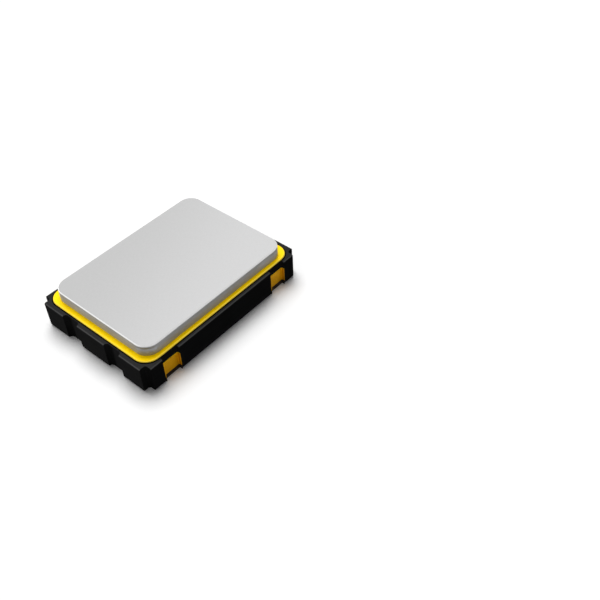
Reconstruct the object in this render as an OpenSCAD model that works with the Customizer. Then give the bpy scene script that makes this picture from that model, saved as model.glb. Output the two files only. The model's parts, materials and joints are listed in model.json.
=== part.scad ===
// Crystal oscillator in a ceramic surface-mount package, seam sealed with a metal lid.
// Millimetres. The circuit board is the plane z = 0 and the lid faces +Z.
// The long side lies along X. Terminal 1 is at -X -Y, and the others follow
// anticlockwise as seen from above: output enable, ground, output, supply.

/* [Ceramic body] */
// Length of the ceramic body
body_length = 7; // [6.7:0.1:8]
// Width of the ceramic body
body_width = 5; // [4.7:0.1:6]
// Height of the ceramic body
body_height = 0.98; // [0.92:0.02:1.3]
// Bevel along the outer top and bottom edges
body_bevel = 0.03; // [0.01:0.01:0.05]
// Side of the square notch down each corner
corner_notch = 0.24; // [0.16:0.01:0.25]
// Radius inside each corner notch
corner_notch_radius = 0.08; // [0.04:0.01:0.14]
// Width of the plain recesses in the short sides
end_recess_width = 0.69; // [0.5:0.01:0.85]
// Depth of the plain recesses in the short sides
end_recess_depth = 0.13; // [0.08:0.01:0.16]
// Spacing between the two recesses of a short side
end_recess_pitch = 1.97; // [1.4:0.01:2.4]
// Radius at the inner corners of the plain recesses
end_recess_radius = 0.12; // [0.05:0.01:0.13]

/* [Solder terminals] */
// Length of a solder pad along X
pad_length = 1.4; // [1.2:0.05:1.8]
// Width of a solder pad along Y
pad_width = 1.15; // [0.9:0.05:1.4]
// Thickness of the plating
pad_thickness = 0.02; // [0.01:0.01:0.03]
// Distance from a pad to the end of the body
pad_end_margin = 0.26; // [0.25:0.01:0.4]
// Corner cut that marks pad 1
pad_mark = 0.5; // [0.3:0.05:0.8]
// Width of a castellation, the plated recess beside each pad
castellation_width = 0.68; // [0.6:0.02:1]
// Depth of a castellation
castellation_depth = 0.12; // [0.1:0.01:0.12]
// Radius at the inner corners of a castellation
castellation_radius = 0.05; // [0.04:0.01:0.08]
// Distance from the centre of a pad to its castellation, towards the middle of the body
castellation_shift = 0.09; // [0:0.01:0.15]
// Height of the castellation plating above the board
plating_height = 0.7; // [0.4:0.05:0.85]

/* [Seal] */
// Ceramic left bare between the seal frame and the ends of the body
frame_end_margin = 0.19; // [0.18:0.01:0.3]
// Ceramic left bare between the seal frame and the long sides
frame_side_margin = 0.13; // [0.125:0.005:0.2]
// Corner radius of the seal frame
frame_radius = 0.5; // [0.35:0.05:0.8]
// Thickness of the plated seal frame
frame_thickness = 0.05; // [0.04:0.01:0.08]
// Bevel round the seal frame
frame_bevel = 0.025; // [0.01:0.005:0.03]
// Frame left in sight at each end of the seal ring
ring_end_inset = 0.2; // [0.15:0.005:0.3]
// Frame left in sight along each side of the seal ring
ring_side_inset = 0.15; // [0.1:0.005:0.25]
// Outer corner radius of the seal ring and the lid
ring_radius = 0.48; // [0.3:0.02:0.7]
// Corner radius inside the seal ring
ring_bore_radius = 0.28; // [0.2:0.02:0.4]
// Wall of the seal ring
ring_wall = 0.38; // [0.3:0.02:0.45]
// Height of the seal ring
ring_height = 0.28; // [0.2:0.02:0.4]
// Thickness of the lid
lid_thickness = 0.12; // [0.08:0.01:0.2]
// Bevel round the top of the lid
lid_bevel = 0.03; // [0.01:0.01:0.06]

/* [Cavity] */
// Ceramic left in sight between the seal ring and the cavity
cavity_land = 0.08; // [0.04:0.01:0.12]
// Ceramic floor under the chip
floor_layer = 0.28; // [0.2:0.02:0.3]
// Ceramic from the floor of the chip well up to the bonding ledge
ledge_layer = 0.18; // [0.14:0.02:0.2]
// Ceramic from the bonding ledge up to the crystal shelf
shelf_layer = 0.22; // [0.2:0.02:0.28]
// Length of the crystal shelf at the -X end
shelf_length = 1; // [0.96:0.02:1.1]
// Ledge between the bonding well and the +X end of the cavity
well_end_land = 0.3; // [0.1:0.05:0.4]
// Width of the bonding ledge along each side of the chip well
ledge_width = 0.6; // [0.5:0.02:0.7]
// Corner radius of the bonding well and the chip well
well_radius = 0.12; // [0.06:0.02:0.2]
// Gap between the chip and the ends of its well
chip_end_gap = 0.3; // [0.15:0.05:0.4]
// Gap between the chip and the sides of its well
chip_side_gap = 0.2; // [0.12:0.02:0.26]

/* [Chip] */
// Length of the oscillator chip
chip_length = 1.4; // [1.2:0.05:1.7]
// Width of the oscillator chip
chip_width = 1.1; // [0.9:0.05:1.2]
// Thickness of the oscillator chip
chip_thickness = 0.15; // [0.1:0.01:0.18]
// Thickness of the adhesive under the chip
attach_thickness = 0.02; // [0.01:0.01:0.03]
// How far the adhesive shows round the chip
attach_rim = 0.06; // [0:0.01:0.1]
// Side of a square bond pad on the chip
chip_pad_size = 0.1; // [0.09:0.01:0.12]
// Thickness of a bond pad on the chip
chip_pad_thickness = 0.01; // [0.01:0.005:0.02]
// Distance from the chip's long edge to the middle of its bond pads
chip_pad_inset = 0.12; // [0.08:0.01:0.2]
// Spacing of the bond pads on the chip
chip_pad_pitch = 0.45; // [0.3:0.05:0.5]

/* [Bonding] */
// Length of a bond finger along X
finger_length = 0.4; // [0.25:0.05:0.5]
// Width of a bond finger along Y
finger_width = 0.4; // [0.25:0.05:0.45]
// Thickness of a bond finger
finger_thickness = 0.015; // [0.01:0.005:0.02]
// Spacing of the bond fingers
finger_pitch = 0.65; // [0.55:0.05:0.7]
// Diameter of the bond wire
wire_diameter = 0.03; // [0.025:0.005:0.035]
// Gap between the wire loops and the crystal
wire_clearance = 0.13; // [0.06:0.01:0.16]
// Diameter of the ball bond on the chip
ball_diameter = 0.08; // [0.06:0.005:0.085]
// Height of the ball bond
ball_height = 0.03; // [0.02:0.005:0.04]
// Length of the flattened wire end on a finger
stitch_length = 0.08; // [0.05:0.01:0.1]
// Thickness of the flattened wire end
stitch_thickness = 0.016; // [0.012:0.002:0.02]
// Width of the flattened wire end
stitch_width = 0.06; // [0.04:0.005:0.07]

/* [Crystal] */
// Thickness of the quartz blank, which sets its frequency
crystal_thickness = 0.08; // [0.05:0.01:0.12]
// Gap between the clamped end of the quartz blank and the cavity
crystal_end_gap = 0.3; // [0.2:0.02:0.32]
// Gap between the free end of the quartz blank and the cavity
crystal_free_gap = 0.8; // [0.4:0.01:1]
// Gap between each side of the quartz blank and the cavity
crystal_side_gap = 0.61; // [0.4:0.01:0.7]
// Thickness of the electrode films
electrode_thickness = 0.01; // [0.01:0.005:0.02]
// Quartz left bare between the electrodes and the clamped end
electrode_clamped_margin = 1.15; // [0.8:0.05:1.3]
// Quartz left bare between the electrodes and the free end
electrode_free_margin = 0.65; // [0.3:0.05:0.9]
// Quartz left bare along each side of the electrodes
electrode_side_margin = 0.35; // [0.2:0.05:0.5]
// Width of the strips from the electrodes to the clamped end
tab_width = 0.5; // [0.4:0.05:0.6]
// How far the upper electrode's tab under the blank reaches past its adhesive dot
tab_margin = 0.04; // [0.02:0.01:0.1]
// Radius of a conductive adhesive dot
dot_radius = 0.22; // [0.15:0.01:0.24]
// Thickness of a conductive adhesive dot
dot_thickness = 0.05; // [0.03:0.01:0.08]
// Distance from the blank's clamped end to the middle of a dot
dot_end_inset = 0.36; // [0.3:0.01:0.38]
// Distance from the blank's long edges to the middle of a dot
dot_side_inset = 0.38; // [0.32:0.01:0.5]
// Length of a crystal pad on the shelf
crystal_pad_length = 0.5; // [0.48:0.01:0.52]
// Gap between the two crystal pads
crystal_pad_gap = 0.5; // [0.3:0.05:0.7]
// Thickness of a crystal pad
crystal_pad_thickness = 0.02; // [0.01:0.005:0.03]

/* [Hidden] */
$fn = 48;
// How far cutters run past the faces that they cut
overcut = 0.2;
// Facets round a bond wire and steps along its loop
wire_sides = 8;
wire_steps = 10;
// Shape of a ball bond: how wide its flat faces are, and the heights where it is widest
ball_face_share = 0.8;
ball_low_share = 0.3;
ball_high_share = 0.7;
// Shape of a wire loop: how far along its run it starts to fall, and how far its curve's
// inner points lie above the loop itself
loop_reach_share = 0.55;
loop_lift_share = 1.25;
// Where along the stitch the wire is flat
stitch_flat_share = 0.4;
// The chip has three bond pads along each of its long edges
bond_columns = [-1, 0, 1];
bond_count = 2 * len(bond_columns);

// Heights, from the board up
body_z = pad_thickness;
chip_floor_z = body_z + floor_layer;
ledge_z = chip_floor_z + ledge_layer;
shelf_z = ledge_z + shelf_layer;
body_top_z = body_z + body_height;
ring_z = body_top_z + frame_thickness;
lid_z = ring_z + ring_height;
chip_z = chip_floor_z + attach_thickness;
chip_top_z = chip_z + chip_thickness;
bond_z = chip_top_z + chip_pad_thickness;
finger_top_z = ledge_z + finger_thickness;
dot_z = shelf_z + crystal_pad_thickness;
tab_z = dot_z + dot_thickness;
crystal_z = tab_z + electrode_thickness;
crystal_top_z = crystal_z + crystal_thickness;

// Outlines that follow one another inwards
frame_length = body_length - 2 * frame_end_margin;
frame_width = body_width - 2 * frame_side_margin;
ring_length = frame_length - 2 * ring_end_inset;
ring_width = frame_width - 2 * ring_side_inset;
ring_bore_length = ring_length - 2 * ring_wall;
ring_bore_width = ring_width - 2 * ring_wall;
cavity_length = ring_bore_length - 2 * cavity_land;
cavity_width = ring_bore_width - 2 * cavity_land;
cavity_radius = ring_bore_radius - cavity_land;

// The bonding well, and the chip in the middle of it
well_start = shelf_length - cavity_length / 2;
well_end = cavity_length / 2 - well_end_land;
well_length = well_end - well_start;
chip_x = (well_start + well_end) / 2;
chip_well_length = chip_length + 2 * chip_end_gap;
chip_well_width = chip_width + 2 * chip_side_gap;
well_width = chip_well_width + 2 * ledge_width;
chip_pad_y = chip_width / 2 - chip_pad_inset;
finger_y = (chip_well_width + ledge_width) / 2;

// The crystal and what holds it
crystal_length = cavity_length - crystal_end_gap - crystal_free_gap;
crystal_width = cavity_width - 2 * crystal_side_gap;
crystal_x = crystal_end_gap - cavity_length / 2;
dot_x = crystal_x + dot_end_inset;
dot_y = crystal_width / 2 - dot_side_inset;
crystal_pad_width = 2 * dot_y - crystal_pad_gap;
tab_length = dot_end_inset + dot_radius + tab_margin;
electrode_length = crystal_length - electrode_clamped_margin - electrode_free_margin;
electrode_width = crystal_width - 2 * electrode_side_margin;
electrode_x = crystal_x + electrode_clamped_margin + electrode_length / 2;
wire_loop = tab_z - bond_z - wire_clearance - wire_diameter / 2;

// Pads and castellations, as distances from the middle of the body
pad_outer_x = body_length / 2 - pad_end_margin;
pad_outer_y = body_width / 2 - castellation_depth;
castellation_x = pad_outer_x - pad_length / 2 - castellation_shift;

// Where bond number i lies: its column along X, and its side, -1 or 1, along Y
function bond_column(i) = bond_columns[i % len(bond_columns)];
function bond_side(i) = i < len(bond_columns) ? -1 : 1;
function chip_pad_at(i) = [chip_x + bond_column(i) * chip_pad_pitch, bond_side(i) * chip_pad_y];
function finger_at(i) = [chip_x + bond_column(i) * finger_pitch, bond_side(i) * finger_y];

// Outlines

module rounded_outline(length, width, radius) {
    square([length - 2 * radius, width], center = true);
    square([length, width - 2 * radius], center = true);
    for (x = [-1, 1], y = [-1, 1])
        translate([x * (length / 2 - radius), y * (width / 2 - radius)])
            circle(radius);
}

// A recess from the line y = 0 towards +Y, which also runs out past the line by its reach
module recess_outline(width, depth, radius, reach) {
    translate([-width / 2, -reach])
        square([width, reach + depth - radius]);
    translate([radius - width / 2, -reach])
        square([width - 2 * radius, reach + depth]);
    for (x = [-1, 1])
        translate([x * (width / 2 - radius), depth - radius])
            circle(radius);
}

// A notch with its corner at the origin, towards +X +Y
module notch_outline(side, radius) {
    translate([-overcut, -overcut])
        square([overcut + side, overcut + side - radius]);
    translate([-overcut, -overcut])
        square([overcut + side - radius, overcut + side]);
    translate([side - radius, side - radius])
        circle(radius);
}

module castellation_outline(wall, reach) {
    translate([-castellation_x, -body_width / 2])
        recess_outline(
            castellation_width - 2 * wall,
            castellation_depth - wall,
            castellation_radius - wall,
            reach
        );
}

// Draws its children at all four corners, each as they stand at -X -Y
module at_corners() {
    for (x = [0, 1], y = [0, 1])
        mirror([x, 0, 0])
            mirror([0, y, 0])
                children();
}

module body_outline() {
    difference() {
        square([body_length, body_width], center = true);
        at_corners()
            translate([-body_length / 2, -body_width / 2])
                notch_outline(corner_notch, corner_notch_radius);
        at_corners()
            castellation_outline(0, overcut);
        at_corners()
            translate([-body_length / 2, -end_recess_pitch / 2])
                rotate(-90)
                    recess_outline(end_recess_width, end_recess_depth, end_recess_radius, overcut);
    }
}

// Solids

// A plate with rounded corners and a bevel round its top
module bevelled_plate(length, width, radius, thickness, bevel) {
    rotate([90, 0, 0])
        linear_extrude(width - 2 * radius, center = true)
            bevelled_section(-length / 2, length / 2, thickness, bevel);
    rotate([90, 0, 90])
        linear_extrude(length - 2 * radius, center = true)
            bevelled_section(-width / 2, width / 2, thickness, bevel);
    for (x = [-1, 1], y = [-1, 1])
        translate([x * (length / 2 - radius), y * (width / 2 - radius), 0])
            rotate_extrude()
                intersection() {
                    bevelled_section(-radius, radius, thickness, bevel);
                    square([radius, thickness]);
                }
}

// The cross section of a plate whose upper edges are bevelled
module bevelled_section(from, to, thickness, bevel) {
    polygon([
        [from, 0],
        [to, 0],
        [to, thickness - bevel],
        [to - bevel, thickness],
        [from + bevel, thickness],
        [from, thickness - bevel]
    ]);
}

// A bar that takes the bevel off a straight edge along X
module bevel_cut(length) {
    rotate([45, 0, 0])
        cube([length, body_bevel * sqrt(2), body_bevel * sqrt(2)], center = true);
}

module body_bevels() {
    for (z = [body_z, body_top_z], side = [-1, 1]) {
        translate([0, side * body_width / 2, z])
            bevel_cut(body_length + overcut);
        translate([side * body_length / 2, 0, z])
            rotate(90)
                bevel_cut(body_width + overcut);
    }
}

module ceramic_base() {
    color([0.11, 0.11, 0.12])
        difference() {
            translate([0, 0, body_z])
                linear_extrude(body_height)
                    body_outline();
            body_bevels();
            translate([0, 0, shelf_z])
                linear_extrude(body_height)
                    rounded_outline(cavity_length, cavity_width, cavity_radius);
            translate([chip_x, 0, ledge_z])
                linear_extrude(body_height)
                    rounded_outline(well_length, well_width, well_radius);
            translate([chip_x, 0, chip_floor_z])
                linear_extrude(body_height)
                    rounded_outline(chip_well_length, chip_well_width, well_radius);
        }
}

module seal_frame() {
    color([0.96, 0.8, 0.05])
        translate([0, 0, body_top_z])
            difference() {
                bevelled_plate(frame_length, frame_width, frame_radius, frame_thickness, frame_bevel);
                translate([0, 0, -overcut])
                    linear_extrude(frame_thickness + 2 * overcut)
                        rounded_outline(cavity_length, cavity_width, cavity_radius);
            }
}

module seal_ring() {
    color([0.52, 0.51, 0.47])
        translate([0, 0, ring_z])
            linear_extrude(ring_height)
                difference() {
                    rounded_outline(ring_length, ring_width, ring_radius);
                    rounded_outline(ring_bore_length, ring_bore_width, ring_bore_radius);
                }
}

module lid() {
    color([0.8, 0.8, 0.8])
        translate([0, 0, lid_z])
            bevelled_plate(ring_length, ring_width, ring_radius, lid_thickness, lid_bevel);
}

module pad_outline(marked) {
    difference() {
        square([pad_length, pad_width]);
        if (marked)
            translate([pad_length, pad_width])
                rotate(45)
                    square(pad_mark * sqrt(2), center = true);
    }
}

// The metal that lines a castellation, flush with the side of the body
module plating_outline() {
    intersection() {
        square([body_length, body_width], center = true);
        difference() {
            castellation_outline(0, 0);
            castellation_outline(pad_thickness, overcut);
        }
    }
}

// A solder pad with the plating of its castellation, drawn at -X -Y.
// flip_x and flip_y, 0 or 1, take it to another corner.
module terminal(flip_x, flip_y, marked) {
    color([0.93, 0.74, 0.1])
        mirror([flip_x, 0, 0])
            mirror([0, flip_y, 0]) {
                translate([-pad_outer_x, -pad_outer_y, 0])
                    linear_extrude(pad_thickness)
                        pad_outline(marked);
                linear_extrude(plating_height)
                    plating_outline();
            }
}

// The gold-plated pads on the shelf; side is -1 or 1
module crystal_pad(side) {
    color([0.85, 0.68, 0.2])
        translate([dot_x, side * dot_y, shelf_z + crystal_pad_thickness / 2])
            cube([crystal_pad_length, crystal_pad_width, crystal_pad_thickness], center = true);
}

module adhesive_dot(side) {
    color([0.6, 0.6, 0.58])
        translate([dot_x, side * dot_y, dot_z])
            cylinder(h = dot_thickness, r = dot_radius);
}

module quartz_blank() {
    color([0.85, 0.9, 0.92, 0.6])
        translate([crystal_x, -crystal_width / 2, crystal_z])
            cube([crystal_length, crystal_width, crystal_thickness]);
}

// The active area of an electrode, with its strip to the clamped end of the blank
module electrode_film(side) {
    strip_length = electrode_x - crystal_x;
    linear_extrude(electrode_thickness) {
        translate([electrode_x, 0])
            square([electrode_length, electrode_width], center = true);
        translate([crystal_x, side * dot_y - tab_width / 2])
            square([strip_length, tab_width]);
    }
}

module electrode_bottom() {
    color([0.83, 0.7, 0.35])
        translate([0, 0, tab_z])
            electrode_film(-1);
}

// The upper film folds down the clamped end and under it, to reach its adhesive dot
module electrode_top() {
    fold_height = crystal_thickness + 2 * electrode_thickness;
    color([0.83, 0.7, 0.35]) {
        translate([0, 0, crystal_top_z])
            electrode_film(1);
        translate([crystal_x - electrode_thickness, dot_y - tab_width / 2, tab_z])
            cube([electrode_thickness, tab_width, fold_height]);
        translate([crystal_x - electrode_thickness, dot_y - tab_width / 2, tab_z])
            cube([electrode_thickness + tab_length, tab_width, electrode_thickness]);
    }
}

module chip_attach() {
    color([0.75, 0.73, 0.68])
        translate([chip_x, 0, chip_floor_z + attach_thickness / 2])
            cube(
                [chip_length + 2 * attach_rim, chip_width + 2 * attach_rim, attach_thickness],
                center = true
            );
}

module oscillator_chip() {
    color([0.3, 0.32, 0.36])
        translate([chip_x, 0, chip_z + chip_thickness / 2])
            cube([chip_length, chip_width, chip_thickness], center = true);
}

module chip_pads() {
    color([0.8, 0.82, 0.84])
        for (i = [0 : bond_count - 1])
            translate([chip_pad_at(i).x, chip_pad_at(i).y, chip_top_z + chip_pad_thickness / 2])
                cube([chip_pad_size, chip_pad_size, chip_pad_thickness], center = true);
}

module bond_finger(i) {
    color([0.85, 0.68, 0.2])
        translate([finger_at(i).x, finger_at(i).y, ledge_z + finger_thickness / 2])
            cube([finger_length, finger_width, finger_thickness], center = true);
}

// Bond wires

// A point of a cubic curve
function curve_point(a, b, c, d, t) =
    a * pow(1 - t, 3) + 3 * b * t * pow(1 - t, 2) + 3 * c * pow(t, 2) * (1 - t) + d * pow(t, 3);

// The direction of the same curve
function curve_slope(a, b, c, d, t) =
    (b - a) * pow(1 - t, 2) + 2 * (c - b) * t * (1 - t) + (d - c) * pow(t, 2);

// A ring is [distance along the wire's run, height, tilt, half width, half thickness]
function ball_rings() = [
    [0, 0, 90, ball_face_share * ball_diameter / 2, ball_face_share * ball_diameter / 2],
    [0, ball_low_share * ball_height, 90, ball_diameter / 2, ball_diameter / 2],
    [0, ball_high_share * ball_height, 90, ball_diameter / 2, ball_diameter / 2],
    [0, ball_height, 90, wire_diameter / 2, wire_diameter / 2]
];

function loop_rings(run, drop) = [
    for (k = [1 : wire_steps])
        let (
            t = k / wire_steps,
            a = [0, ball_height],
            b = [0, loop_lift_share * wire_loop],
            c = [loop_reach_share * run, loop_lift_share * wire_loop],
            d = [run, drop + wire_diameter / 2],
            p = curve_point(a, b, c, d, t),
            v = curve_slope(a, b, c, d, t)
        )
        [p.x, p.y, atan2(v.y, v.x), wire_diameter / 2, wire_diameter / 2]
];

function stitch_rings(run, drop) = [
    for (s = [stitch_flat_share, 1])
        [run + s * stitch_length, drop + stitch_thickness / 2, 0, stitch_width / 2, stitch_thickness / 2]
];

// The corners of a ring, in the upright plane y = 0 and to both sides of it
function ring_points(ring) = [
    for (k = [0 : wire_sides - 1])
        let (
            across = ring[3] * cos(360 * k / wire_sides),
            up = ring[4] * sin(360 * k / wire_sides)
        )
        [ring[0] - up * sin(ring[2]), across, ring[1] + up * cos(ring[2])]
];

function ring_faces(i) = [
    for (k = [0 : wire_sides - 1])
        let (
            a = i * wire_sides + k,
            b = i * wire_sides + (k + 1) % wire_sides
        )
        each [[a, b, b + wire_sides], [a, b + wire_sides, a + wire_sides]]
];

// A tube through a list of rings, closed at both ends
module ring_tube(rings) {
    last = len(rings) - 1;
    polyhedron(
        points = [for (ring = rings) each ring_points(ring)],
        faces = concat(
            [[for (k = [wire_sides - 1 : -1 : 0]) k]],
            [for (i = [0 : last - 1]) each ring_faces(i)],
            [[for (k = [0 : wire_sides - 1]) last * wire_sides + k]]
        )
    );
}

module bond_wire(i) {
    step = finger_at(i) - chip_pad_at(i);
    run = norm(step) - stitch_length;
    drop = finger_top_z - bond_z;
    color([0.9, 0.75, 0.3])
        translate([chip_pad_at(i).x, chip_pad_at(i).y, bond_z])
            rotate(atan2(step.y, step.x))
                ring_tube(concat(ball_rings(), loop_rings(run, drop), stitch_rings(run, drop)));
}

ceramic_base();
seal_frame();
seal_ring();
lid();
terminal(0, 0, true);  // terminal_1
terminal(1, 0, false);  // terminal_2
terminal(1, 1, false);  // terminal_3
terminal(0, 1, false);  // terminal_4
crystal_pad(-1);  // crystal_pad_1
crystal_pad(1);  // crystal_pad_2
adhesive_dot(-1);  // adhesive_dot_1
adhesive_dot(1);  // adhesive_dot_2
quartz_blank();
electrode_top();
electrode_bottom();
chip_attach();
oscillator_chip();
chip_pads();
bond_finger(0);  // bond_finger_1
bond_finger(1);  // bond_finger_2
bond_finger(2);  // bond_finger_3
bond_finger(3);  // bond_finger_4
bond_finger(4);  // bond_finger_5
bond_finger(5);  // bond_finger_6
bond_wire(0);  // bond_wire_1
bond_wire(1);  // bond_wire_2
bond_wire(2);  // bond_wire_3
bond_wire(3);  // bond_wire_4
bond_wire(4);  // bond_wire_5
bond_wire(5);  // bond_wire_6
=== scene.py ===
import json
import math

import bpy
from mathutils import Matrix, Vector


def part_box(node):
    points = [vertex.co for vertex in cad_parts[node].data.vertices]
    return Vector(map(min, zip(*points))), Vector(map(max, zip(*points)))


# One millimetre in metres. The lengths below are in millimetres and the angles in degrees.
MM = 0.001

# The photograph's camera. Azimuth 0 looks along +Y and 90 along +X, and the elevation is how far
# down it looks. The distance is measured along the view, to the origin, which shows at
# ORIGIN_PIXEL in a square image of IMAGE_SIZE pixels.
VIEW_AZIMUTH = 49.144
VIEW_ELEVATION = 44.466
VIEW_ROLL = -1.714
VIEW_DISTANCE = 27.080
ORIGIN_PIXEL = (175.90, 296.49)
FOCAL_PIXELS = 794.90
IMAGE_SIZE = 600
SENSOR_WIDTH = 36
CLIP_START = 1
CLIP_END = 10000

# The suns: where each comes from, azimuth 0 being +X and 90 being +Y, and how wide it looks
KEY_SUN = dict(azimuth=56, elevation=64, width=42, strength=2.65)
# A low, narrow sun along the short side, on the object alone, which shows up its recesses
SIDE_SUN = dict(azimuth=118, elevation=6, width=7, strength=2.2)
# A weaker sun from high in front, on the object alone, which reaches the long side
FRONT_SUN = dict(azimuth=245, elevation=78, width=40, strength=1.2)

# The sky that lights the object: its level, how much it gains towards +X, +Y and +Z, and its
# least level. What is seen of it is white.
SKY_LEVEL = 0.1
SKY_SLOPE = (-0.05, 0.1, 0.3)
SKY_LEAST = 0.02
SEEN_LEVEL = 1.0

# The length of the floor's side, and its grey for soft light
FLOOR_SIZE = 4000
FLOOR_GREY = (0.06, 0.06, 0.06)

# The width and the segments of the rounded edges
EDGES = {
    "ceramic_base": (0.025, 3),
    "lid": (0.006, 3),
    "seal_frame": (0.006, 3),
    "seal_ring": (0.004, 2),
    "oscillator_chip": (0.004, 1),
    "quartz_blank": (0.004, 1),
}
# Points closer than this are joined, and edges that turn by more than this are rounded
WELD_DISTANCE = 0.0002
SHARP_ANGLE = 35

# Corner radius of the seal frame
FRAME_RADIUS = 0.5
# How far outside the seal frame the painted shade line round it starts to fade, and where it ends
SHADE_LINE_SPAN = (0.03, 0.05)
# How far outside its outline, less than nothing here, the frame's painted edge highlight starts
# and peaks
FRAME_HIGHLIGHT_SPAN = (-0.045, -0.02)

# Heights where the ceramic's layers meet, and half the width and the strength of the lines there
LAYER_HEIGHTS = (0.30, 0.48, 0.70)
LAYER_LINE = 0.006
LAYER_STRENGTH = 0.3

# The heights where the painted shade at the foot of the castellations starts to fade, and where
# it ends
FOOT_SHADE_TO_GOLD = (0.165, 0.180)

# How metallic the wall is that the ring and the edge of the lid make together
WALL_METALLIC = 0.45

# Films and adhesives: the dark and light of the grain, its lumps in a millimetre, the least and
# most roughness, and how metallic each is
FILMS = {
    "electrode_gold": ((0.78, 0.60, 0.25), (0.88, 0.72, 0.36), 20, 0.22, 0.32, 1.0),
    "inner_gold": ((0.75, 0.52, 0.16), (0.88, 0.66, 0.24), 26, 0.35, 0.5, 0.9),
    "wire_gold": ((0.88, 0.66, 0.22), (0.95, 0.76, 0.32), 60, 0.15, 0.25, 1.0),
    "pad_aluminium": ((0.72, 0.73, 0.75), (0.84, 0.85, 0.86), 50, 0.25, 0.4, 1.0),
    "silver_adhesive": ((0.42, 0.42, 0.40), (0.66, 0.66, 0.63), 45, 0.5, 0.7, 0.4),
    "attach_epoxy": ((0.48, 0.47, 0.43), (0.68, 0.67, 0.62), 40, 0.5, 0.7, 0.3),
}

# The values of a noise texture that most of a surface lies between
NOISE_SPREAD = (0.3, 0.7)
# The sockets of a Mix node that mixes colours
MIX_SHARE, MIX_A, MIX_B, MIX_RESULT = 0, 6, 7, 2

WHITE = (1, 1, 1)
BLACK = (0, 0, 0)


# Shader nodes

class Nodes:
    """Adds nodes to a tree. A value is a number, a colour or another node's output."""

    def __init__(self, tree):
        self.tree = tree
        tree.nodes.clear()

    def add(self, kind, **settings):
        node = self.tree.nodes.new(kind)
        for name, value in settings.items():
            setattr(node, name, value)
        return node

    def put(self, socket, value):
        if isinstance(value, bpy.types.NodeSocket):
            self.tree.links.new(value, socket)
        elif socket.type == "RGBA":
            socket.default_value = (*value, 1)
        else:
            socket.default_value = value

    def output(self, kind, shader):
        """Adds the tree's output and joins the shader to it."""
        self.put(self.add(kind).inputs["Surface"], shader.outputs[0])

    def math(self, operation, *values):
        node = self.add("ShaderNodeMath", operation=operation)
        for socket, value in zip(node.inputs, values):
            self.put(socket, value)
        return node.outputs[0]

    def step(self, value, low, high, start=0.0, end=1.0):
        """Goes smoothly from start to end as value goes from low to high."""
        node = self.add("ShaderNodeMapRange", interpolation_type="SMOOTHSTEP")
        for name, x in (("Value", value), ("From Min", low), ("From Max", high),
                        ("To Min", start), ("To Max", end)):
            self.put(node.inputs[name], x)
        return node.outputs[0]

    def mix(self, share, a, b):
        """Goes from colour a to colour b as share goes from 0 to 1."""
        node = self.add("ShaderNodeMix", data_type="RGBA")
        self.put(node.inputs[MIX_SHARE], share)
        self.put(node.inputs[MIX_A], a)
        self.put(node.inputs[MIX_B], b)
        return node.outputs[MIX_RESULT]

    def place(self, stretch=(1, 1, 1)):
        """The place on the object in its own frame, in millimetres, stretched along the axes."""
        where = self.add("ShaderNodeTexCoord").outputs["Object"]
        node = self.add("ShaderNodeVectorMath", operation="MULTIPLY")
        self.put(node.inputs[0], where)
        node.inputs[1].default_value = [s / MM for s in stretch]
        return node.outputs[0]

    def parts(self, vector):
        """The vector's x, y and z."""
        node = self.add("ShaderNodeSeparateXYZ")
        self.put(node.inputs[0], vector)
        return node.outputs

    def height(self):
        """The height above the board, in millimetres."""
        return self.parts(self.place())[2]

    def noise(self, scale, detail=3.0, stretch=(1, 1, 1)):
        """Noise with about scale lumps in a millimetre."""
        node = self.add("ShaderNodeTexNoise")
        self.put(node.inputs["Vector"], self.place(stretch))
        node.inputs["Scale"].default_value = scale
        node.inputs["Detail"].default_value = detail
        return node.outputs["Fac"]

    def speckle(self, scale, low=0.0, high=1.0, spread=NOISE_SPREAD, **noise):
        """A number from low to high that follows the noise."""
        return self.step(self.noise(scale, **noise), *spread, low, high)

    def grain(self, scale, dark, light, **noise):
        """A colour from dark to light that follows the noise."""
        return self.mix(self.speckle(scale, **noise), dark, light)

    def relief(self, scale, strength, depth, **noise):
        """A bump that follows the noise, of the given depth in millimetres."""
        node = self.add("ShaderNodeBump")
        node.inputs["Strength"].default_value = strength
        node.inputs["Distance"].default_value = depth * MM
        self.put(node.inputs["Height"], self.noise(scale, **noise))
        return node.outputs[0]

    def upward(self):
        """How far the surface faces up: 1 on a top, 0 on a side and -1 below."""
        return self.parts(self.add("ShaderNodeNewGeometry").outputs["Normal"])[2]

    def facing_up(self, low, high, start=0.0, end=1.0):
        """Goes from start to end as upward goes from low to high."""
        return self.step(self.upward(), low, high, start, end)

    def outline_distance(self, half_x, half_y, radius):
        """How far outside a rectangle with round corners a point lies, in millimetres."""
        x, y, _ = self.parts(self.place())
        over_x = self.math("SUBTRACT", self.math("ABSOLUTE", x), half_x - radius)
        over_y = self.math("SUBTRACT", self.math("ABSOLUTE", y), half_y - radius)
        out_x = self.math("MAXIMUM", over_x, 0.0)
        out_y = self.math("MAXIMUM", over_y, 0.0)
        squares = self.math("ADD", self.math("POWER", out_x, 2.0), self.math("POWER", out_y, 2.0))
        inside = self.math("MINIMUM", self.math("MAXIMUM", over_x, over_y), 0.0)
        reach = self.math("ADD", self.math("SQRT", squares), inside)
        return self.math("SUBTRACT", reach, radius)


# Materials

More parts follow.
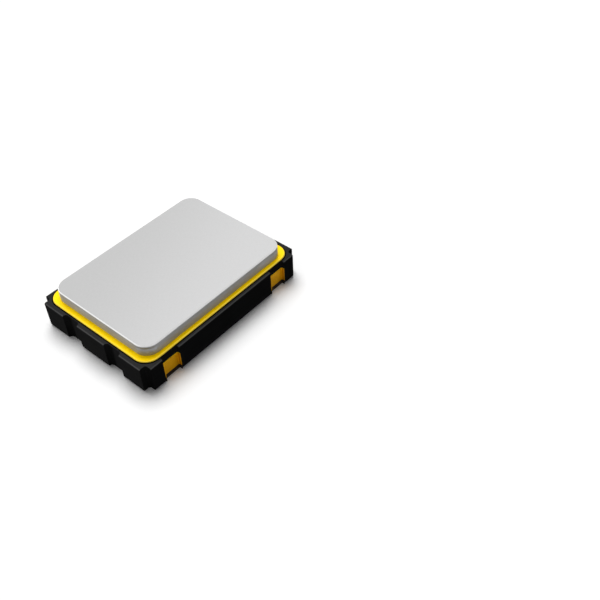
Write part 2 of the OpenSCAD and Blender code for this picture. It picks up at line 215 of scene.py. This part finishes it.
def surface(name, colour, rough, relief=None, metallic=None, **constants):
    """A material. The functions colour and metallic draw those two, rough is what Nodes.speckle
    takes and relief what Nodes.relief takes, and constants go on the shader's own sockets."""
    made = bpy.data.materials.new(name)
    made.use_nodes = True
    nodes = Nodes(made.node_tree)
    shader = nodes.add("ShaderNodeBsdfPrincipled")
    nodes.put(shader.inputs["Base Color"], colour(nodes))
    nodes.put(shader.inputs["Roughness"], nodes.speckle(**rough))
    if relief:
        nodes.put(shader.inputs["Normal"], nodes.relief(**relief))
    if metallic:
        nodes.put(shader.inputs["Metallic"], metallic(nodes))
    for socket, value in constants.items():
        shader.inputs[socket.replace("_", " ")].default_value = value
    nodes.output("ShaderNodeOutputMaterial", shader)
    return made


def frame_distance(n):
    """How far outside the seal frame's outline a point lies, in millimetres."""
    _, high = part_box("seal_frame")
    return n.outline_distance(high.x / MM, high.y / MM, FRAME_RADIUS)


def layer_lines(n, colour):
    """Darkens the colour a little where the ceramic's layers meet."""
    height = n.height()
    for z in LAYER_HEIGHTS:
        on_line = n.math("COMPARE", height, z, LAYER_LINE)
        colour = n.mix(n.math("MULTIPLY", on_line, LAYER_STRENGTH), colour, BLACK)
    return colour


def ceramic():
    """Black alumina, fine grain, layer lines; painted shade on sides and round the frame, painted
    edge highlight.
    """
    dark, light = (0.016, 0.016, 0.0163), (0.023, 0.023, 0.0233)
    blotch = (0.027, 0.027, 0.0273)
    highlight_grey = (0.05, 0.05, 0.05)
    side_to_top, side_to_edge, edge_to_top = (0.3, 0.7), (0.2, 0.5), (0.85, 0.98)
    side_shade = 0.22

    def painted_shade_line(n):
        near = n.step(frame_distance(n), *SHADE_LINE_SPAN, 1, 0)
        return n.math("MULTIPLY", near, n.facing_up(*side_to_top))

    def painted_edge_highlight(n):
        off_side, off_top = n.facing_up(*side_to_edge), n.facing_up(*edge_to_top, 1, 0)
        return n.math("MULTIPLY", off_side, off_top)

    def colour(n):
        grain = n.grain(38, dark, light, spread=(0.35, 0.7))
        blotched = n.mix(n.speckle(2.2, 0, 0.35, spread=(0.3, 0.8)), grain, blotch)
        lined = layer_lines(n, blotched)
        # Painted shade: the sides are painted darker than the top, by side_shade
        side_colour = n.mix(n.facing_up(*side_to_top, side_shade, 0), lined, BLACK)
        # Painted shade: a dark line on the ceramic where the seal frame meets it
        bare = n.mix(painted_shade_line(n), side_colour, BLACK)
        # Painted highlight: the slope of the rounded top edges is painted lighter
        return n.mix(painted_edge_highlight(n), bare, highlight_grey)

    rough = dict(scale=25, low=0.5, high=0.66)
    relief = dict(scale=55, detail=4, strength=0.35, depth=0.002)
    return surface("ceramic", colour, rough, relief, Specular_IOR_Level=0.0)


def frame_gold():
    """Bright gold plating, with a painted highlight along its outer edge."""
    dark, light, highlight_gold = (0.73, 0.48, 0.0), (0.79, 0.52, 0.0), (0.80, 0.58, 0.05)

    def colour(n):
        # Painted highlight: paler gold along the frame's outer edge
        return n.mix(n.step(frame_distance(n), *FRAME_HIGHLIGHT_SPAN), n.grain(30, dark, light), highlight_gold)

    rough = dict(scale=40, low=0.34, high=0.5)
    relief = dict(scale=60, strength=0.25, depth=0.0015)
    return surface("frame_gold", colour, rough, relief, Metallic=0.2, Specular_IOR_Level=0.05)


def terminal_gold():
    """Satin gold plating, bright on the pads; painted shade makes its sides deeper, darkest at
    their foot.
    """
    pad_dark, pad_light = (0.88, 0.60, 0.01), (0.95, 0.67, 0.02)
    shaded_side_dark, shaded_side_light, side_tint = (0.62, 0.30, 0.0), (0.70, 0.36, 0.0), (0.55, 0.26, 0.0)
    foot_shade, foot_shade_strength = (0.01, 0.01, 0.01), 0.98
    side_to_pad = (0.3, 0.6)

    def colour(n):
        # Painted shade: the side plating is the pads' gold, painted deeper
        side = n.grain(24, shaded_side_dark, shaded_side_light)
        tinted = n.mix(n.speckle(3, 0, 0.5, spread=(0.35, 0.75)), side, side_tint)
        pad = n.grain(24, pad_dark, pad_light)
        sideways = n.step(n.math("ABSOLUTE", n.upward()), *side_to_pad, 1, 0)
        # Painted shade: the side plating is painted near black below these heights
        low = n.step(n.height(), *FOOT_SHADE_TO_GOLD, 1, 0)
        foot_shade_mask = n.math("MULTIPLY", n.math("MULTIPLY", low, sideways), foot_shade_strength)
        return n.mix(foot_shade_mask, n.mix(sideways, pad, tinted), foot_shade)

    rough = dict(scale=40, low=0.36, high=0.52)
    relief = dict(scale=50, strength=0.3, depth=0.002)
    return surface("terminal_gold", colour, rough, relief, Metallic=0.7, Specular_IOR_Level=0.0)


def wall_colour(n):
    """The grey of the wall that the ring and the edge of the lid make together."""
    dark, light = (0.37, 0.38, 0.395), (0.43, 0.44, 0.465)
    return n.grain(6, dark, light, detail=4, stretch=(1, 1, 9))


def ring_metal():
    """Nickel-plated ring, a cool grey, with fine marks along its wall."""
    rough = dict(scale=30, low=0.42, high=0.56)
    relief = dict(scale=14, detail=4, stretch=(1, 1, 6), strength=0.2, depth=0.002)
    shine = dict(Metallic=WALL_METALLIC, Specular_IOR_Level=0.1)
    return surface("ring_metal", wall_colour, rough, relief, **shine)


def lid_metal():
    """Nickel-plated lid, satin, with painted sheen and bevel highlight; its cut edge is as dark
    as the ring.
    """
    dark, light = (0.385, 0.385, 0.385), (0.455, 0.455, 0.457)
    # Painted highlight: the bevel round the top is painted paler than the face
    bevel = (0.72, 0.72, 0.715)
    side_to_bevel, bevel_to_face = (0.15, 0.5), (0.85, 0.97)
    # Painted sheen: the face is painted lighter towards +X and -Y, by these gains over this reach
    gain_x, gain_y, reach = 0.12, -0.3, 0.9

    def colour(n):
        x, y, _ = n.parts(n.place())
        along = n.math("ADD", n.math("MULTIPLY", x, gain_x), n.math("MULTIPLY", y, gain_y))
        face = n.mix(n.step(along, -reach, reach), dark, light)
        satin = n.mix(n.speckle(9, 0, 0.05, detail=5, stretch=(1, 5, 1)), face, BLACK)
        # Painted highlight on the bevel
        top = n.mix(n.facing_up(*bevel_to_face), bevel, satin)
        return n.mix(n.facing_up(*side_to_bevel), wall_colour(n), top)

    def metallic(n):
        return n.facing_up(*side_to_bevel, WALL_METALLIC, 0)

    rough = dict(scale=16, detail=4, stretch=(1, 6, 1), low=0.4, high=0.5)
    relief = dict(scale=45, detail=4, stretch=(1, 4, 1), strength=0.12, depth=0.001)
    return surface("lid_metal", colour, rough, relief, metallic, Specular_IOR_Level=0.1)


def quartz():
    """Lapped quartz: clear, with a faint bloom."""
    dark, light = (0.86, 0.92, 0.94), (0.93, 0.96, 0.97)

    def colour(n):
        return n.grain(12, dark, light)

    rough = dict(scale=20, low=0.06, high=0.16)
    return surface("quartz", colour, rough, Transmission_Weight=0.85, IOR=1.54)


def silicon():
    """A finished chip: a dark field with the fine blocks of its circuit."""
    dark, light = (0.09, 0.10, 0.12), (0.13, 0.14, 0.16)
    side_to_top = (0.5, 0.9)
    circuit = {
        "Color1": (0.05, 0.07, 0.10),
        "Color2": (0.10, 0.08, 0.13),
        "Mortar": (0.30, 0.29, 0.26),
        "Scale": 9.0,
        "Mortar Size": 0.012,
        "Brick Width": 0.9,
        "Row Height": 0.4,
    }

    def colour(n):
        blocks = n.add("ShaderNodeTexBrick", offset=0.37, squash=1.0)
        n.put(blocks.inputs["Vector"], n.place())
        for name, value in circuit.items():
            n.put(blocks.inputs[name], value)
        side_colour = n.grain(30, dark, light)
        return n.mix(n.facing_up(*side_to_top), side_colour, blocks.outputs[0])

    rough = dict(scale=18, low=0.12, high=0.22)
    return surface("silicon", colour, rough, Metallic=0.3, Coat_Weight=0.5)


def film(name, dark, light, scale, low, high, metallic):
    """A metal film or a silver-filled adhesive with fine grain."""
    def colour(n):
        return n.grain(scale, dark, light)

    rough = dict(scale=scale * 1.7, low=low, high=high)
    relief = dict(scale=scale * 2.5, strength=0.2, depth=0.001)
    return surface(name, colour, rough, relief, Metallic=metallic)


def make_materials():
    """One material for each slot of the record."""
    made = {
        "ceramic": ceramic(),
        "frame_gold": frame_gold(),
        "terminal_gold": terminal_gold(),
        "ring_metal": ring_metal(),
        "lid_metal": lid_metal(),
        "quartz": quartz(),
        "silicon": silicon(),
    }
    for slot, values in FILMS.items():
        made[slot] = film(slot, *values)
    return made


def dress_nodes(frame):
    made = make_materials()
    for part in frame["record"]["subparts"]:
        mesh = frame["nodes"][part["node"]].data
        mesh.materials.clear()
        mesh.materials.append(made[part["material_slot"]])


# Edges

def soften(node, width, segments):
    """Rounds a node's sharp edges by the given width, in millimetres."""
    weld = node.modifiers.new("weld", "WELD")
    weld.merge_threshold = WELD_DISTANCE * MM
    bevel = node.modifiers.new("edges", "BEVEL")
    bevel.width = width * MM
    bevel.segments = segments
    bevel.limit_method = "ANGLE"
    bevel.angle_limit = math.radians(SHARP_ANGLE)
    bevel.miter_outer = "MITER_ARC"
    bevel.use_clamp_overlap = True
    bevel.harden_normals = True
    normals = node.modifiers.new("normals", "WEIGHTED_NORMAL")
    normals.keep_sharp = False


def soften_nodes(frame):
    for name, (width, segments) in EDGES.items():
        soften(frame["nodes"][name], width, segments)


# Surroundings

def direction(azimuth, elevation):
    """A direction; azimuth 0 is +X and 90 is +Y."""
    a, e = math.radians(azimuth), math.radians(elevation)
    return Vector((math.cos(a) * math.cos(e), math.sin(a) * math.cos(e), math.sin(e)))


def add_sun(name, azimuth, elevation, width, strength):
    data = bpy.data.lights.new(name, "SUN")
    data.energy = strength
    data.angle = math.radians(width)
    sun = bpy.data.objects.new(name, data)
    sun.rotation_mode = "QUATERNION"
    sun.rotation_quaternion = (-direction(azimuth, elevation)).to_track_quat("-Z", "Y")
    bpy.context.scene.collection.objects.link(sun)
    return sun


def light_only(suns, nodes):
    """Lets these suns reach only these nodes, and gives them no gloss."""
    lit = bpy.data.collections.new("lit")
    for node in nodes:
        lit.objects.link(node)
    for sun in suns:
        sun.light_linking.receiver_collection = lit
        sun.visible_glossy = False


def add_suns(nodes):
    add_sun("key", **KEY_SUN)
    light_only((add_sun("side", **SIDE_SUN), add_sun("front", **FRONT_SUN)), nodes)


def seen_directly(nodes):
    """1 for rays from the camera, mirrors and glass, and 0 for the rays that carry soft light."""
    path = nodes.add("ShaderNodeLightPath")
    either = nodes.math("MAXIMUM", path.outputs["Is Camera Ray"], path.outputs["Is Glossy Ray"])
    return nodes.math("MAXIMUM", either, path.outputs["Is Transmission Ray"])


def sky_level(nodes):
    """How bright the sky is in each direction."""
    way = nodes.parts(nodes.add("ShaderNodeTexCoord").outputs["Generated"])
    level = SKY_LEVEL
    for part, slope in zip(way, SKY_SLOPE):
        level = nodes.math("ADD", nodes.math("MULTIPLY", part, slope), level)
    return nodes.math("MAXIMUM", level, SKY_LEAST)


def white_background(nodes, strength):
    made = nodes.add("ShaderNodeBackground")
    nodes.put(made.inputs["Color"], WHITE)
    nodes.put(made.inputs["Strength"], strength)
    return made.outputs[0]


def add_world():
    world = bpy.data.worlds.new("studio")
    bpy.context.scene.world = world
    world.use_nodes = True
    nodes = Nodes(world.node_tree)
    sky = white_background(nodes, sky_level(nodes))
    seen = white_background(nodes, SEEN_LEVEL)
    both = nodes.add("ShaderNodeMixShader")
    for socket, value in zip(both.inputs, (seen_directly(nodes), sky, seen)):
        nodes.put(socket, value)
    nodes.output("ShaderNodeOutputWorld", both)


def floor_material():
    """White where it is seen; greyer for soft light, so that little of it comes back up."""
    made = bpy.data.materials.new("floor")
    made.use_nodes = True
    nodes = Nodes(made.node_tree)
    shader = nodes.add("ShaderNodeBsdfDiffuse")
    nodes.put(shader.inputs["Color"], nodes.mix(seen_directly(nodes), FLOOR_GREY, WHITE))
    nodes.output("ShaderNodeOutputMaterial", shader)
    return made


def add_floor():
    half = FLOOR_SIZE / 2 * MM
    corners = [(-half, -half, 0), (half, -half, 0), (half, half, 0), (-half, half, 0)]
    mesh = bpy.data.meshes.new("floor")
    mesh.from_pydata(corners, [], [(0, 1, 2, 3)])
    mesh.materials.append(floor_material())
    floor = bpy.data.objects.new("floor", mesh)
    bpy.context.scene.collection.objects.link(floor)


def view_axes():
    """The camera's own right, up and forward."""
    azimuth, elevation = math.radians(VIEW_AZIMUTH), math.radians(VIEW_ELEVATION)
    ahead, roll = math.cos(elevation), math.radians(VIEW_ROLL)
    forward = Vector((math.sin(azimuth) * ahead, math.cos(azimuth) * ahead, -math.sin(elevation)))
    level_right = forward.cross(Vector((0, 0, 1))).normalized()
    level_up = level_right.cross(forward)
    right = math.cos(roll) * level_right + math.sin(roll) * level_up
    up = math.cos(roll) * level_up - math.sin(roll) * level_right
    return right, up, forward


def add_camera():
    right, up, forward = view_axes()
    scale = VIEW_DISTANCE / FOCAL_PIXELS
    aside = (ORIGIN_PIXEL[0] - IMAGE_SIZE / 2) * scale
    above = (IMAGE_SIZE / 2 - ORIGIN_PIXEL[1]) * scale
    place = -(aside * right + above * up + VIEW_DISTANCE * forward) * MM
    data = bpy.data.cameras.new("camera")
    data.sensor_width = SENSOR_WIDTH
    data.lens = FOCAL_PIXELS / IMAGE_SIZE * SENSOR_WIDTH
    data.clip_start = CLIP_START * MM
    data.clip_end = CLIP_END * MM
    camera = bpy.data.objects.new("camera", data)
    turn = Matrix((right, up, -forward)).transposed()
    camera.matrix_world = Matrix.Translation(place) @ turn.to_4x4()
    bpy.context.scene.collection.objects.link(camera)
    bpy.context.scene.camera = camera


with open("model.json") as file:
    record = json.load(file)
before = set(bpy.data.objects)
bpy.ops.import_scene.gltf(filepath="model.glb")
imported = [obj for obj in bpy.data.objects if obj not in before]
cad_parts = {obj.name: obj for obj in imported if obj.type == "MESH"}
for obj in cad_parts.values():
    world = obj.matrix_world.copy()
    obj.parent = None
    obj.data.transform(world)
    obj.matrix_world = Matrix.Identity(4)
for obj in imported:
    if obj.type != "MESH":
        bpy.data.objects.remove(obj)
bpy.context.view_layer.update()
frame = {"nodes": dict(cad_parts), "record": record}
add_camera()
dress_nodes(frame)
soften_nodes(frame)
add_world()
add_suns(frame["nodes"].values())
add_floor()
bpy.context.scene.view_settings.view_transform = "Standard"
